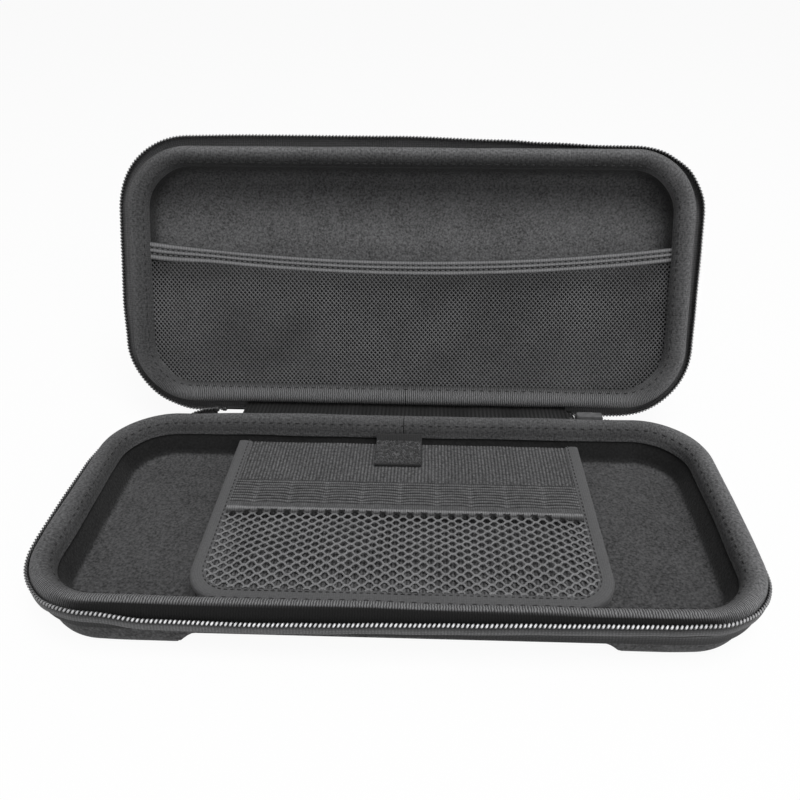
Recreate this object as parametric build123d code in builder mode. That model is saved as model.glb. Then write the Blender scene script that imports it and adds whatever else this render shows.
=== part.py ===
from build123d import *
import os

# Driving sizes in millimetres and degrees. The feet stand on z = 0, +Y is the hinge side.
CASE_WIDTH = 276.0
CASE_DEPTH = 128.4
CORNER_RADIUS = 32.8
BASE_HEIGHT = 23.5
LID_HEIGHT = 22.5
LID_OPEN = 112.4
HINGE_BEHIND = 2.6
HINGE_HEIGHT = 15.5

# Moulded shells
BASE_FLOOR = 4.0
LID_ROOF = 3.2
FLANGE_INSET = 4.0
FLANGE_LOW = 11.2
NECK_INSET = 6.5
NECK_LOW = 14.0
NECK_ROUND = 2.0
BASE_DRAFT = 0.5
LID_DRAFT = 2.2
BASE_FOOT_ROUND = 4.0
LID_EDGE_ROUND = 7.0
ROLL_OUT_RADIUS = 2.6
ROLL_IN_RADIUS = 4.1
ROLL_IN_DROP = 2.7
BASE_CAVITY_DRAFT = 4.5
LID_CAVITY_DRAFT = 2.0
BASE_WELL_ROUND = 3.0
LID_WELL_ROUND = 8.0
FLOOR_INSET = 27.0
PLATFORM_HALF = 78.5
PLATFORM_RISE = 8.5
PLATFORM_THICK = 2.7
PLATFORM_ROUND = 2.5

# Rim binding and zip
RIM_GAP = 0.4
BINDING_THICK = 1.1
BINDING_OUT_LOW = 6.0
BINDING_SEAM = 0.4
COIL_RADIUS = 0.85
COIL_LOW = 3.8
TAPE_THICK = 0.7
TAPE_BEND = 7.0
TAPE_SEWN = 9.2
ZIP_INSET_RIGHT = 59.5
ZIP_INSET_LEFT = 48.4
STOP_LENGTH = 2.2
STOP_WIDTH = 2.4

# Zip slider and pull
SLIDER_LENGTH = 12.0
SLIDER_STOP_GAP = 0.3
SLIDER_PLATE = 0.8
SLIDER_CLEAR = 0.25
SLIDER_ABOVE = 3.2
SLIDER_BELOW = 2.6
BAIL_RADIUS = 0.8
BAIL_REACH = 1.9
BAIL_POST = 1.6
PULL_LENGTH = 17.0
PULL_WIDTH = 8.0
PULL_NECK = 4.4
PULL_THICK = 1.6
PULL_CLEAR = 0.25
PULL_EYE_WALL = 0.7
PULL_RIBS = 4
PULL_RIB_PITCH = 2.0
PULL_RIB_HEIGHT = 0.4

# Hinge fabric
HINGE_INSET = 60.5
HINGE_THICK = 0.8
HINGE_LEAVES = 2.3

# Divider flap
DIVIDER_X = 2.0
DIVIDER_WIDTH = 154.0
DIVIDER_REAR_GAP = 20.7
DIVIDER_TOP = 17.4
DIVIDER_THICK = 2.8
DIVIDER_CORNER = 16.0
DIVIDER_FRONT_GAP = 0.6
EDGE_TAPE_THICK = 0.8
EDGE_TAPE_WIDTH = 5.0
POCKET_GAP = 0.2
NET_THICK = 0.6
NET_PITCH_X = 9.2
NET_PITCH_Y = 4.6
NET_CELL = 5.4
BAND_BEHIND = 28.7
BAND_WIDTH = 21.0
BAND_THICK = 0.9
BAND_RIBS = 7
BAND_RIB_HEIGHT = 0.5
BAND_HEM = 2.4
HINGE_TAPE_WIDTH = 110.0
HINGE_TAPE_THICK = 0.8
HINGE_TAPE_UNDER = 10.0
HINGE_TAPE_DROP = 1.6
SEWN_GAP = 0.1

# Closure tab
TAB_X = -1.7
TAB_WIDTH = 20.6
TAB_THICK = 1.0
TAB_REACH = 17.0
TAB_SEWN = 1.6
TAB_TURN_GAP = 1.2
PATCH_LENGTH = 16.5
PATCH_THICK = 0.8

# Lid pocket
LID_NET_THICK = 0.6
LID_NET_GAP = 0.4
LID_NET_SEAT = 0.3
LID_NET_PITCH_X = 17.0
LID_NET_PITCH_Y = 12.0
LID_NET_CELL = 9.0
HEM_FROM_FRONT = 46.0
HEM_SAG = 9.3
HEM_WIDTH = 7.2
HEM_THICK = 1.4
HEM_GAP = 0.2

# Places that follow from the sizes above
HINGE_Y = CASE_DEPTH / 2 + HINGE_BEHIND
BASE = Plane(Pos(0, 0, BASE_HEIGHT) * Rot(Y=180))
LID = Plane(
    Pos(0, HINGE_Y, HINGE_HEIGHT)
    * Rot(X=-LID_OPEN)
    * Pos(0, -HINGE_Y, BASE_HEIGHT - HINGE_HEIGHT)
)
CREST_INSET = FLANGE_INSET + ROLL_OUT_RADIUS
CREST_LOW = RIM_GAP / 2 + BINDING_THICK
CAVITY_INSET = CREST_INSET + ROLL_IN_RADIUS
ROLL_IN_LOW = CREST_LOW + ROLL_IN_RADIUS
CAVITY_LOW = ROLL_IN_LOW + ROLL_IN_DROP
BINDING_INSET = CAVITY_INSET + BINDING_THICK
TAPE_OUT = COIL_RADIUS - TAPE_THICK / 2
ZIP_END_RIGHT = CASE_WIDTH / 2 - ZIP_INSET_RIGHT
ZIP_END_LEFT = CASE_WIDTH / 2 - ZIP_INSET_LEFT
HINGE_HALF = CASE_WIDTH / 2 - HINGE_INSET
DIVIDER_FRONT = BINDING_INSET + DIVIDER_FRONT_GAP - CASE_DEPTH / 2
DIVIDER_REAR = CASE_DEPTH / 2 - DIVIDER_REAR_GAP
BAND_FRONT = DIVIDER_REAR - BAND_BEHIND - BAND_WIDTH
HEM_END = HEM_FROM_FRONT - CASE_DEPTH / 2


def rim_run(half, first, last):
    """Rim outline of a shell from one point of its hinge side round to another."""
    side = CASE_WIDTH / 2
    end = CASE_DEPTH / 2
    corners = [(-side, end), (-side, -end), (side, -end), (side, end)]
    with BuildLine(half) as run:
        FilletPolyline((first, end), *corners, (last, end), radius=CORNER_RADIUS)
    return run.wire()


def half_run(half, first):
    """Half of the rim outline, from the hinge side to the middle of the front."""
    side = CASE_WIDTH / 2
    end = CASE_DEPTH / 2
    with BuildLine(half) as run:
        FilletPolyline((first, end), (-side, end), (-side, -end), (0, -end), radius=CORNER_RADIUS)
    return run.wire()


def rim_plane(half, first):
    """Section plane at the start of a run: x is the inset, y the depth below the parting plane."""
    start = half.from_local_coords((first, CASE_DEPTH / 2, 0))
    return Plane(origin=start, x_dir=-half.y_dir, z_dir=-half.x_dir)


def wall_section(half, height, floor, cavity_draft, draft, well_round, edge_round):
    """Moulded wall: rolled rim, flange, neck, outer wall and the start of the floor."""
    bottom = height - floor
    with BuildSketch(rim_plane(half, 0)) as section:
        with BuildLine():
            Line((FLANGE_INSET, FLANGE_LOW), (FLANGE_INSET, CREST_LOW + ROLL_OUT_RADIUS))
            TangentArc(
                (FLANGE_INSET, CREST_LOW + ROLL_OUT_RADIUS),
                (CREST_INSET, CREST_LOW),
                tangent=(0, -1),
            )
            TangentArc((CREST_INSET, CREST_LOW), (CAVITY_INSET, ROLL_IN_LOW), tangent=(1, 0))
            Line((CAVITY_INSET, ROLL_IN_LOW), (CAVITY_INSET, CAVITY_LOW))
            FilletPolyline(
                (CAVITY_INSET, CAVITY_LOW),
                (CAVITY_INSET + cavity_draft, bottom),
                (FLOOR_INSET, bottom),
                radius=well_round,
            )
            Line((FLOOR_INSET, bottom), (FLOOR_INSET, height))
            FilletPolyline(
                (FLOOR_INSET, height),
                (NECK_INSET + draft, height),
                (NECK_INSET, NECK_LOW),
                (FLANGE_INSET, FLANGE_LOW),
                radius=[edge_round, NECK_ROUND],
            )
        make_face()
    return section.sketch


def binding_section(half, first):
    """Tape wrapped over the rolled rim, from the flange's outside to the foot of the roll."""
    outside = FLANGE_INSET - BINDING_THICK
    shoulder = CREST_LOW + ROLL_OUT_RADIUS
    top = CREST_LOW - BINDING_THICK
    with BuildSketch(rim_plane(half, first)) as section:
        with BuildLine():
            Line((FLANGE_INSET, BINDING_OUT_LOW), (FLANGE_INSET, shoulder))
            TangentArc((FLANGE_INSET, shoulder), (CREST_INSET, CREST_LOW), tangent=(0, -1))
            TangentArc((CREST_INSET, CREST_LOW), (CAVITY_INSET, ROLL_IN_LOW), tangent=(1, 0))
            Polyline(
                (CAVITY_INSET, ROLL_IN_LOW),
                (CAVITY_INSET, CAVITY_LOW),
                (BINDING_INSET, CAVITY_LOW),
                (BINDING_INSET, ROLL_IN_LOW),
            )
            TangentArc((BINDING_INSET, ROLL_IN_LOW), (CREST_INSET, top), tangent=(0, -1))
            TangentArc((CREST_INSET, top), (outside, shoulder), tangent=(-1, 0))
            Line((outside, shoulder), (outside, BINDING_OUT_LOW))
            Line((outside, BINDING_OUT_LOW), (FLANGE_INSET, BINDING_OUT_LOW))
        make_face()
    return section.sketch


def tape_section(half, first):
    """Zip tape: sewn flat on the flange, then standing off it up to the teeth."""
    top = COIL_LOW + COIL_RADIUS
    sewn_out = FLANGE_INSET - TAPE_THICK
    tape_in = TAPE_OUT + TAPE_THICK
    with BuildSketch(rim_plane(half, first)) as section:
        with BuildLine():
            Polyline(
                (TAPE_OUT, top),
                (tape_in, top),
                (tape_in, TAPE_BEND),
                (FLANGE_INSET, TAPE_SEWN),
                (FLANGE_INSET, FLANGE_LOW),
                (sewn_out, FLANGE_LOW),
                (sewn_out, TAPE_SEWN + TAPE_THICK / 2),
                (TAPE_OUT, TAPE_BEND + TAPE_THICK / 2),
                close=True,
            )
        make_face()
    return section.sketch


def coil_section(half, first):
    """Outer form of the coiled teeth row, standing on the tape's edge."""
    with BuildSketch(rim_plane(half, first)) as section:
        with Locations((COIL_RADIUS, COIL_LOW)):
            Circle(COIL_RADIUS)
    return section.sketch


def floor_outline(plane):
    """Flat middle of a shell, inside the swept wall."""
    with BuildSketch(plane) as outline:
        RectangleRounded(
            CASE_WIDTH - 2 * FLOOR_INSET,
            CASE_DEPTH - 2 * FLOOR_INSET,
            CORNER_RADIUS - FLOOR_INSET,
        )
    return outline.sketch


def cavity_inset(height):
    """Inset of the base's inner wall at a height above the table."""
    fall = BASE_HEIGHT - CAVITY_LOW - height
    return CAVITY_INSET + BASE_CAVITY_DRAFT * fall / (BASE_HEIGHT - CAVITY_LOW - BASE_FLOOR)


def strip(points, radius, thick, centre_x, width):
    """Cloth strip bent along a line in the YZ plane, given by its middle layer."""
    with BuildPart() as cloth:
        with BuildSketch(Plane.YZ.offset(centre_x)):
            with BuildLine():
                FilletPolyline(*points, radius=radius)
                offset(amount=thick / 2, side=Side.BOTH)
            make_face()
        extrude(amount=width / 2, both=True)
    return cloth


# Base shell with its two end wells, platform and feet
with BuildPart() as base_shell:
    sweep(
        sections=wall_section(
            BASE,
            BASE_HEIGHT,
            BASE_FLOOR,
            BASE_CAVITY_DRAFT,
            BASE_DRAFT,
            BASE_WELL_ROUND,
            BASE_FOOT_ROUND,
        ),
        path=half_run(BASE, 0),
    )
    mirror(about=Plane.YZ)
    extrude(floor_outline(Plane.XY), amount=BASE_FLOOR)
    slope_foot = PLATFORM_HALF + BASE_FLOOR
    platform_top = PLATFORM_RISE + PLATFORM_THICK
    top_half = slope_foot - platform_top
    with BuildSketch(Plane.XZ):
        with BuildLine():
            FilletPolyline(
                (-slope_foot, 0),
                (-top_half, platform_top),
                (top_half, platform_top),
                (slope_foot, 0),
                radius=PLATFORM_ROUND,
            )
            Line((slope_foot, 0), (-slope_foot, 0))
        make_face()
    extrude(amount=CASE_DEPTH / 2 - CAVITY_INSET, both=True)
    arch_half = PLATFORM_HALF - PLATFORM_RISE
    with BuildSketch(Plane.XZ):
        with BuildLine():
            FilletPolyline(
                (-PLATFORM_HALF, 0),
                (-arch_half, PLATFORM_RISE),
                (arch_half, PLATFORM_RISE),
                (PLATFORM_HALF, 0),
                radius=PLATFORM_ROUND,
            )
            Line((PLATFORM_HALF, 0), (-PLATFORM_HALF, 0))
        make_face()
    extrude(amount=CASE_DEPTH / 2, both=True, mode=Mode.SUBTRACT)

# Lid shell
with BuildPart() as lid_shell:
    sweep(
        sections=wall_section(
            LID,
            LID_HEIGHT,
            LID_ROOF,
            LID_CAVITY_DRAFT,
            LID_DRAFT,
            LID_WELL_ROUND,
            LID_EDGE_ROUND,
        ),
        path=half_run(LID, 0),
    )
    mirror(about=Plane.YZ)
    extrude(floor_outline(LID.offset(LID_HEIGHT - LID_ROOF)), amount=LID_ROOF)

# Rim bindings, each with its butt seam at the middle of the hinge side
seam = -BINDING_SEAM / 2
with BuildPart() as base_rim_binding:
    sweep(sections=binding_section(BASE, seam), path=half_run(BASE, seam))
    mirror(about=Plane.YZ)
with BuildPart() as lid_rim_binding:
    sweep(sections=binding_section(LID, seam), path=half_run(LID, seam))
    mirror(about=Plane.YZ)

# Zip tapes and teeth rows, open at the hinge
base_ends = (-ZIP_END_RIGHT, ZIP_END_LEFT)
lid_ends = (-ZIP_END_LEFT, ZIP_END_RIGHT)
base_teeth = (base_ends[0] - STOP_LENGTH, base_ends[1] + STOP_LENGTH)
lid_teeth = (lid_ends[0] - STOP_LENGTH, lid_ends[1] + STOP_LENGTH)
with BuildPart() as base_zip_tape:
    sweep(sections=tape_section(BASE, base_ends[0]), path=rim_run(BASE, *base_ends))
with BuildPart() as lid_zip_tape:
    sweep(sections=tape_section(LID, lid_ends[0]), path=rim_run(LID, *lid_ends))
with BuildPart() as base_zip_coil:
    sweep(sections=coil_section(BASE, base_teeth[0]), path=rim_run(BASE, *base_teeth))
with BuildPart() as lid_zip_coil:
    sweep(sections=coil_section(LID, lid_teeth[0]), path=rim_run(LID, *lid_teeth))


def zip_stops(half, ends):
    """Crimped blocks on the tape's edge, past both ends of a teeth row."""
    middle = CASE_DEPTH / 2 - COIL_RADIUS
    with BuildPart() as stops:
        with BuildSketch(half.offset(COIL_LOW + COIL_RADIUS - STOP_WIDTH)):
            with Locations(
                (ends[0] - STOP_LENGTH / 2, middle), (ends[1] + STOP_LENGTH / 2, middle)
            ):
                Rectangle(STOP_LENGTH, 2 * COIL_RADIUS)
        extrude(amount=STOP_WIDTH)
    return stops


base_zip_stops = zip_stops(BASE, base_ends)
lid_zip_stops = zip_stops(LID, lid_ends)

# Hinge fabric: sewn on both flanges and taut between them
hinge_layer = FLANGE_INSET - HINGE_THICK / 2
hinge_leg = [
    (hinge_layer, FLANGE_LOW),
    (hinge_layer, TAPE_SEWN),
    (HINGE_LEAVES, TAPE_BEND),
]
base_leg = [BASE.from_local_coords((0, CASE_DEPTH / 2 - i, d)) for i, d in hinge_leg]
lid_leg = [LID.from_local_coords((0, CASE_DEPTH / 2 - i, d)) for i, d in hinge_leg]
hinge_line = [(p.Y, p.Z) for p in base_leg + lid_leg[::-1]]
hinge_fabric = strip(hinge_line, HINGE_THICK, HINGE_THICK, 0, 2 * HINGE_HALF)

# Zip slider: two plates round the base teeth row, joined by a neck, with a bail for the pull
slider_x = ZIP_END_RIGHT + STOP_LENGTH + SLIDER_STOP_GAP + SLIDER_LENGTH / 2
coil_y = CASE_DEPTH / 2 - COIL_RADIUS
coil_z = BASE_HEIGHT - COIL_LOW
channel = COIL_RADIUS + SLIDER_CLEAR
slider_back = coil_y + channel + SLIDER_PLATE
slider_top = coil_z + SLIDER_ABOVE
bail_y = slider_back + BAIL_REACH
with BuildPart() as zip_slider:
    with BuildSketch(Plane.YZ.offset(slider_x)):
        with BuildLine():
            Polyline(
                (coil_y - channel - SLIDER_PLATE, slider_top),
                (slider_back, slider_top),
                (slider_back, coil_z - SLIDER_BELOW),
                (coil_y + channel, coil_z - SLIDER_BELOW),
                (coil_y + channel, coil_z + channel),
                (coil_y - channel, coil_z + channel),
                (coil_y - channel, coil_z - SLIDER_BELOW),
                (coil_y - channel - SLIDER_PLATE, coil_z - SLIDER_BELOW),
                close=True,
            )
        make_face()
    extrude(amount=SLIDER_LENGTH / 2, both=True)
    fillet(zip_slider.edges().filter_by(Axis.Y).group_by(Axis.Z)[-1], radius=SLIDER_PLATE)
    bail_half = SLIDER_LENGTH / 2 - BAIL_POST / 2
    with BuildSketch(Plane.YZ.offset(slider_x)):
        with Locations((bail_y, coil_z)):
            Circle(BAIL_RADIUS)
    extrude(amount=bail_half, both=True)
    with BuildSketch(Plane.XZ.offset(-slider_back)):
        with Locations((slider_x - bail_half, coil_z), (slider_x + bail_half, coil_z)):
            Rectangle(BAIL_POST, 2 * BAIL_RADIUS)
    extrude(amount=-BAIL_REACH)

# Zip pull: an eye on the bail and a tapered ribbed tab that hangs from it
eye_in = BAIL_RADIUS + PULL_CLEAR
eye_out = eye_in + PULL_EYE_WALL
tab_back = bail_y + PULL_THICK / 2
with BuildPart() as zip_pull:
    with BuildSketch(Plane.YZ.offset(slider_x)):
        with Locations((bail_y, coil_z)):
            Circle(eye_out)
    extrude(amount=PULL_NECK / 2, both=True)
    with BuildSketch(Plane.XZ.offset(-bail_y)) as tab:
        with BuildLine():
            Polyline(
                (slider_x - PULL_NECK / 2, coil_z),
                (slider_x + PULL_NECK / 2, coil_z),
                (slider_x + PULL_WIDTH / 2, coil_z - PULL_LENGTH),
                (slider_x - PULL_WIDTH / 2, coil_z - PULL_LENGTH),
                close=True,
            )
        make_face()
        fillet(tab.vertices().group_by(Axis.Y)[0], radius=PULL_THICK)
    extrude(amount=PULL_THICK / 2, both=True)
    rib_middle = coil_z - PULL_LENGTH + PULL_RIBS * PULL_RIB_PITCH / 2 + PULL_THICK / 2
    with BuildSketch(Plane.XZ.offset(-tab_back)):
        with Locations((slider_x, rib_middle)):
            with GridLocations(0, PULL_RIB_PITCH, 1, PULL_RIBS):
                SlotOverall(PULL_NECK, PULL_RIB_PITCH / 2)
    extrude(amount=-PULL_RIB_HEIGHT)
    with BuildSketch(Plane.YZ.offset(slider_x)):
        with Locations((bail_y, coil_z)):
            Circle(eye_in)
    extrude(amount=PULL_NECK, both=True, mode=Mode.SUBTRACT)


def divider_outline(inset, height):
    """Flap outline, square at its free rear edge and round at its two front corners."""
    half = DIVIDER_WIDTH / 2 - inset
    front = DIVIDER_FRONT + inset
    with BuildSketch(Plane.XY.offset(height)) as outline:
        with BuildLine():
            FilletPolyline(
                (DIVIDER_X - half, DIVIDER_REAR),
                (DIVIDER_X - half, front),
                (DIVIDER_X + half, front),
                (DIVIDER_X + half, DIVIDER_REAR),
                radius=DIVIDER_CORNER - inset,
            )
            Line((DIVIDER_X + half, DIVIDER_REAR), (DIVIDER_X - half, DIVIDER_REAR))
        make_face()
    return outline.sketch


# Divider flap: a stiff board and the tape folded over its two sides and front
board_low = DIVIDER_TOP - DIVIDER_THICK
edge_low = board_low - EDGE_TAPE_THICK
edge_height = DIVIDER_THICK + 2 * EDGE_TAPE_THICK
edge_inset = EDGE_TAPE_THICK + EDGE_TAPE_WIDTH
with BuildPart() as divider_board:
    extrude(divider_outline(EDGE_TAPE_THICK, board_low), amount=DIVIDER_THICK)
with BuildPart() as divider_binding:
    extrude(divider_outline(0, edge_low), amount=edge_height)
    extrude(divider_outline(edge_inset, edge_low), amount=edge_height, mode=Mode.SUBTRACT)
    add(divider_board.part, mode=Mode.SUBTRACT)

# Ribbed elastic band with a thick folded hem at its front edge
pocket_half = DIVIDER_WIDTH / 2 - edge_inset - POCKET_GAP
rib_pitch = (BAND_WIDTH - BAND_HEM) / BAND_RIBS
with BuildPart() as divider_elastic_band:
    with BuildSketch(Plane.YZ.offset(DIVIDER_X)):
        with Locations((BAND_FRONT, DIVIDER_TOP)):
            Rectangle(BAND_WIDTH, BAND_THICK, align=(Align.MIN, Align.MIN))
        with Locations((BAND_FRONT, DIVIDER_TOP)):
            RectangleRounded(
                BAND_HEM,
                BAND_THICK + 2 * BAND_RIB_HEIGHT,
                BAND_RIB_HEIGHT,
                align=(Align.MIN, Align.MIN),
            )
        with Locations((BAND_FRONT + BAND_HEM + rib_pitch * BAND_RIBS / 2, DIVIDER_TOP + BAND_THICK)):
            with GridLocations(rib_pitch, 0, BAND_RIBS, 1):
                Trapezoid(rib_pitch / 2, BAND_RIB_HEIGHT, 60, align=(Align.CENTER, Align.MIN))
    extrude(amount=pocket_half, both=True)

# Coarse net pocket: rows of six-sided gaps, every other row set over by half a cell
net_front = DIVIDER_FRONT + edge_inset + POCKET_GAP
net_rear = BAND_FRONT - POCKET_GAP
net_middle = (net_front + net_rear) / 2
net_columns = int((2 * pocket_half - NET_CELL) / NET_PITCH_X)
net_rows = int((net_rear - net_front - NET_CELL) / (2 * NET_PITCH_Y))
with BuildPart() as divider_net_pocket:
    extrude(divider_outline(edge_inset + POCKET_GAP, DIVIDER_TOP), amount=NET_THICK)
    with BuildSketch(Plane.XY.offset(DIVIDER_TOP)):
        with Locations((DIVIDER_X, net_rear)):
            Rectangle(DIVIDER_WIDTH, CASE_DEPTH, align=(Align.CENTER, Align.MIN))
    extrude(amount=NET_THICK, mode=Mode.SUBTRACT)
    with BuildSketch(Plane.XY.offset(DIVIDER_TOP)):
        with Locations((DIVIDER_X, net_middle - NET_PITCH_Y / 2)):
            with GridLocations(NET_PITCH_X, 2 * NET_PITCH_Y, net_columns, net_rows):
                RegularPolygon(NET_CELL / 2, 6)
        with Locations((DIVIDER_X, net_middle + NET_PITCH_Y / 2)):
            with GridLocations(NET_PITCH_X, 2 * NET_PITCH_Y, net_columns - 1, net_rows):
                RegularPolygon(NET_CELL / 2, 6)
    extrude(amount=NET_THICK, mode=Mode.SUBTRACT)

# Cloth tape that sews the flap's front edge to the front wall
sewn_high = edge_low - HINGE_TAPE_THICK / 2
sewn_low = sewn_high - HINGE_TAPE_DROP
wall_stand = HINGE_TAPE_THICK / 2 + SEWN_GAP
front_wall = [
    (cavity_inset(height) + wall_stand - CASE_DEPTH / 2, height) for height in (sewn_low, sewn_high)
]
tape_line = front_wall + [(DIVIDER_FRONT + HINGE_TAPE_UNDER, sewn_high)]
divider_hinge_tape = strip(
    tape_line, HINGE_TAPE_THICK, HINGE_TAPE_THICK, DIVIDER_X, HINGE_TAPE_WIDTH
)

# Closure tab from the rear wall over the flap, with the loop patch below and the hook patch on it
tab_z = DIVIDER_TOP + PATCH_THICK + TAB_THICK / 2
tab_end = DIVIDER_REAR - TAB_REACH
tab_stand = TAB_THICK / 2 + SEWN_GAP
rear_wall = [
    (CASE_DEPTH / 2 - cavity_inset(height) - tab_stand, height)
    for height in (edge_low - TAB_SEWN, edge_low)
]
tab_turn = CASE_DEPTH / 2 - BINDING_INSET - TAB_THICK - TAB_TURN_GAP
closure_tab = strip(
    rear_wall + [(tab_turn, tab_z), (tab_end, tab_z)], TAB_THICK, TAB_THICK, TAB_X, TAB_WIDTH
)


def patch(low):
    """Square of hook or loop tape at the closure tab's end."""
    with BuildPart() as square:
        with BuildSketch(Plane.XY.offset(low)):
            with Locations((TAB_X, tab_end)):
                Rectangle(TAB_WIDTH, PATCH_LENGTH, align=(Align.CENTER, Align.MIN))
        extrude(amount=PATCH_THICK)
    return square


closure_loop_patch = patch(DIVIDER_TOP)
closure_hook_patch = patch(tab_z + TAB_THICK / 2)


# Lid pocket: a net under the binding's edge, closed by a sagging elastic hem
pocket_inset = CAVITY_INSET + LID_NET_GAP
pocket_low = CAVITY_LOW + LID_NET_SEAT
hem_half = CASE_WIDTH / 2
hem_low = HEM_END + HEM_WIDTH
pocket_width = CASE_WIDTH - 2 * pocket_inset
pocket_depth = CASE_DEPTH - 2 * pocket_inset
gap_low = hem_low + HEM_SAG + HEM_GAP
gap_high = pocket_depth / 2
gap_middle = (gap_low + gap_high) / 2
gap_columns = int((pocket_width - LID_NET_CELL) / LID_NET_PITCH_X)
gap_rows = int((gap_high - gap_low - LID_NET_PITCH_Y / 2) / LID_NET_PITCH_Y)
with BuildPart() as lid_net_pocket:
    with BuildSketch(LID.offset(pocket_low)):
        RectangleRounded(pocket_width, pocket_depth, CORNER_RADIUS - pocket_inset)
        with BuildLine():
            ThreePointArc(
                (-hem_half, hem_low + HEM_GAP),
                (0, hem_low + HEM_SAG + HEM_GAP),
                (hem_half, hem_low + HEM_GAP),
            )
            Polyline(
                (hem_half, hem_low + HEM_GAP),
                (hem_half, -CASE_DEPTH),
                (-hem_half, -CASE_DEPTH),
                (-hem_half, hem_low + HEM_GAP),
            )
        make_face(mode=Mode.SUBTRACT)
        with Locations((0, gap_middle - LID_NET_PITCH_Y / 4)):
            with GridLocations(LID_NET_PITCH_X, LID_NET_PITCH_Y, gap_columns, gap_rows):
                RegularPolygon(LID_NET_CELL / 2, 4, mode=Mode.SUBTRACT)
        with Locations((0, gap_middle + LID_NET_PITCH_Y / 4)):
            with GridLocations(LID_NET_PITCH_X, LID_NET_PITCH_Y, gap_columns - 1, gap_rows):
                RegularPolygon(LID_NET_CELL / 2, 4, mode=Mode.SUBTRACT)
    extrude(amount=LID_NET_THICK)
with BuildPart() as lid_pocket_hem:
    with BuildSketch(LID.offset(pocket_low)):
        with BuildLine():
            ThreePointArc((-hem_half, HEM_END), (0, HEM_END + HEM_SAG), (hem_half, HEM_END))
            Line((hem_half, HEM_END), (hem_half, hem_low))
            ThreePointArc((hem_half, hem_low), (0, hem_low + HEM_SAG), (-hem_half, hem_low))
            Line((-hem_half, hem_low), (-hem_half, HEM_END))
        make_face()
        RectangleRounded(
            pocket_width, pocket_depth, CORNER_RADIUS - pocket_inset, mode=Mode.INTERSECT
        )
    extrude(amount=HEM_THICK)

pieces = {
    "base_shell": base_shell,
    "base_rim_binding": base_rim_binding,
    "base_zip_tape": base_zip_tape,
    "base_zip_coil": base_zip_coil,
    "base_zip_stops": base_zip_stops,
    "hinge_fabric": hinge_fabric,
    "zip_slider": zip_slider,
    "zip_pull": zip_pull,
    "divider_board": divider_board,
    "divider_binding": divider_binding,
    "divider_elastic_band": divider_elastic_band,
    "divider_net_pocket": divider_net_pocket,
    "divider_hinge_tape": divider_hinge_tape,
    "closure_tab": closure_tab,
    "closure_loop_patch": closure_loop_patch,
    "closure_hook_patch": closure_hook_patch,
    "lid_shell": lid_shell,
    "lid_rim_binding": lid_rim_binding,
    "lid_zip_tape": lid_zip_tape,
    "lid_zip_coil": lid_zip_coil,
    "lid_zip_stops": lid_zip_stops,
    "lid_net_pocket": lid_net_pocket,
    "lid_pocket_hem": lid_pocket_hem,
}
os.makedirs("parts", exist_ok=True)
for name, piece in pieces.items():
    piece.part.label = name
    export_step(piece.part, f"parts/{name}.step")
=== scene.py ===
import bisect
import bmesh
import bpy
import math
from mathutils import Matrix, Vector, noise


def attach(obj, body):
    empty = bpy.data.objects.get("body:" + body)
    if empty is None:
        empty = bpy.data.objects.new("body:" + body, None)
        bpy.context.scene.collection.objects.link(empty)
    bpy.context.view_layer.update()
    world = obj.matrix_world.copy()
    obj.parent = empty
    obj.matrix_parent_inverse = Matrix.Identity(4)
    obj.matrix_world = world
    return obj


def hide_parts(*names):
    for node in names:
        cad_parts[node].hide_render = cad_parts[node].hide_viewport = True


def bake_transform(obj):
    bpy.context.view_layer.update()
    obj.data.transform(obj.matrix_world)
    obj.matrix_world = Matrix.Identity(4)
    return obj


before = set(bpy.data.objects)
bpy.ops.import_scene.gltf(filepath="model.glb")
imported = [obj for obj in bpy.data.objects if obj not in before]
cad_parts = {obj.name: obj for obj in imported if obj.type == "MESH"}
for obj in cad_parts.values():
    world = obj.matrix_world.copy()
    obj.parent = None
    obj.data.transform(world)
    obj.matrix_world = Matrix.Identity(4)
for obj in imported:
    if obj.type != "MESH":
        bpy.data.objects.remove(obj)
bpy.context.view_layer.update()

# Sizes of the case in millimetres, the same as in the solid model
MM = 0.001
WIDTH, DEPTH, CORNER = 276.0, 128.4, 32.8
BASE_HEIGHT, LID_HEIGHT = 23.5, 22.5
BASE_FLOOR, LID_ROOF = 4.0, 3.2
HINGE_Y, HINGE_Z, LID_OPEN = 66.8, 15.5, math.radians(112.4)
FLOOR_INSET, SPINE_HALF = 27.0, 90.0
PLATFORM_TOP = 11.2
ZIP_LEFT, ZIP_RIGHT = 89.6, 78.5
FLAP_X, FLAP_HALF, FLAP_REAR, FLAP_FRONT = 2.0, 77.0, 43.5, -51.8
FLAP_TOP, FLAP_LOW, FLAP_CORNER = 17.4, 14.6, 16.0
BAND_FRONT, BAND_WIDTH, POCKET_HALF = -6.2, 21.0, 71.0
TAB_X, TAB_HALF, TAB_END, PATCH_LENGTH = -1.7, 10.3, 26.5, 16.5
HEM_END, HEM_SAG, HEM_WIDTH = -18.2, 9.3, 7.2

# Section of the walls: insets from the rim outline and depths below the parting plane
ROLL_INSET, ROLL_IN_DEPTH, ROLL_OUT_DEPTH = 6.6, 5.4, 3.9
WALL_INSET, FLANGE_INSET, FLANGE_DEPTH = 10.7, 4.0, 11.2
RIM_STEP = 1.5

# The rim outline, walked from the middle of the hinge side by way of the left
STRAIGHT_X = WIDTH / 2 - CORNER
STRAIGHT_Y = DEPTH - 2 * CORNER
QUARTER = math.pi * CORNER / 2
RIM_LENGTH = 4 * STRAIGHT_X + 2 * STRAIGHT_Y + 4 * QUARTER


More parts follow.
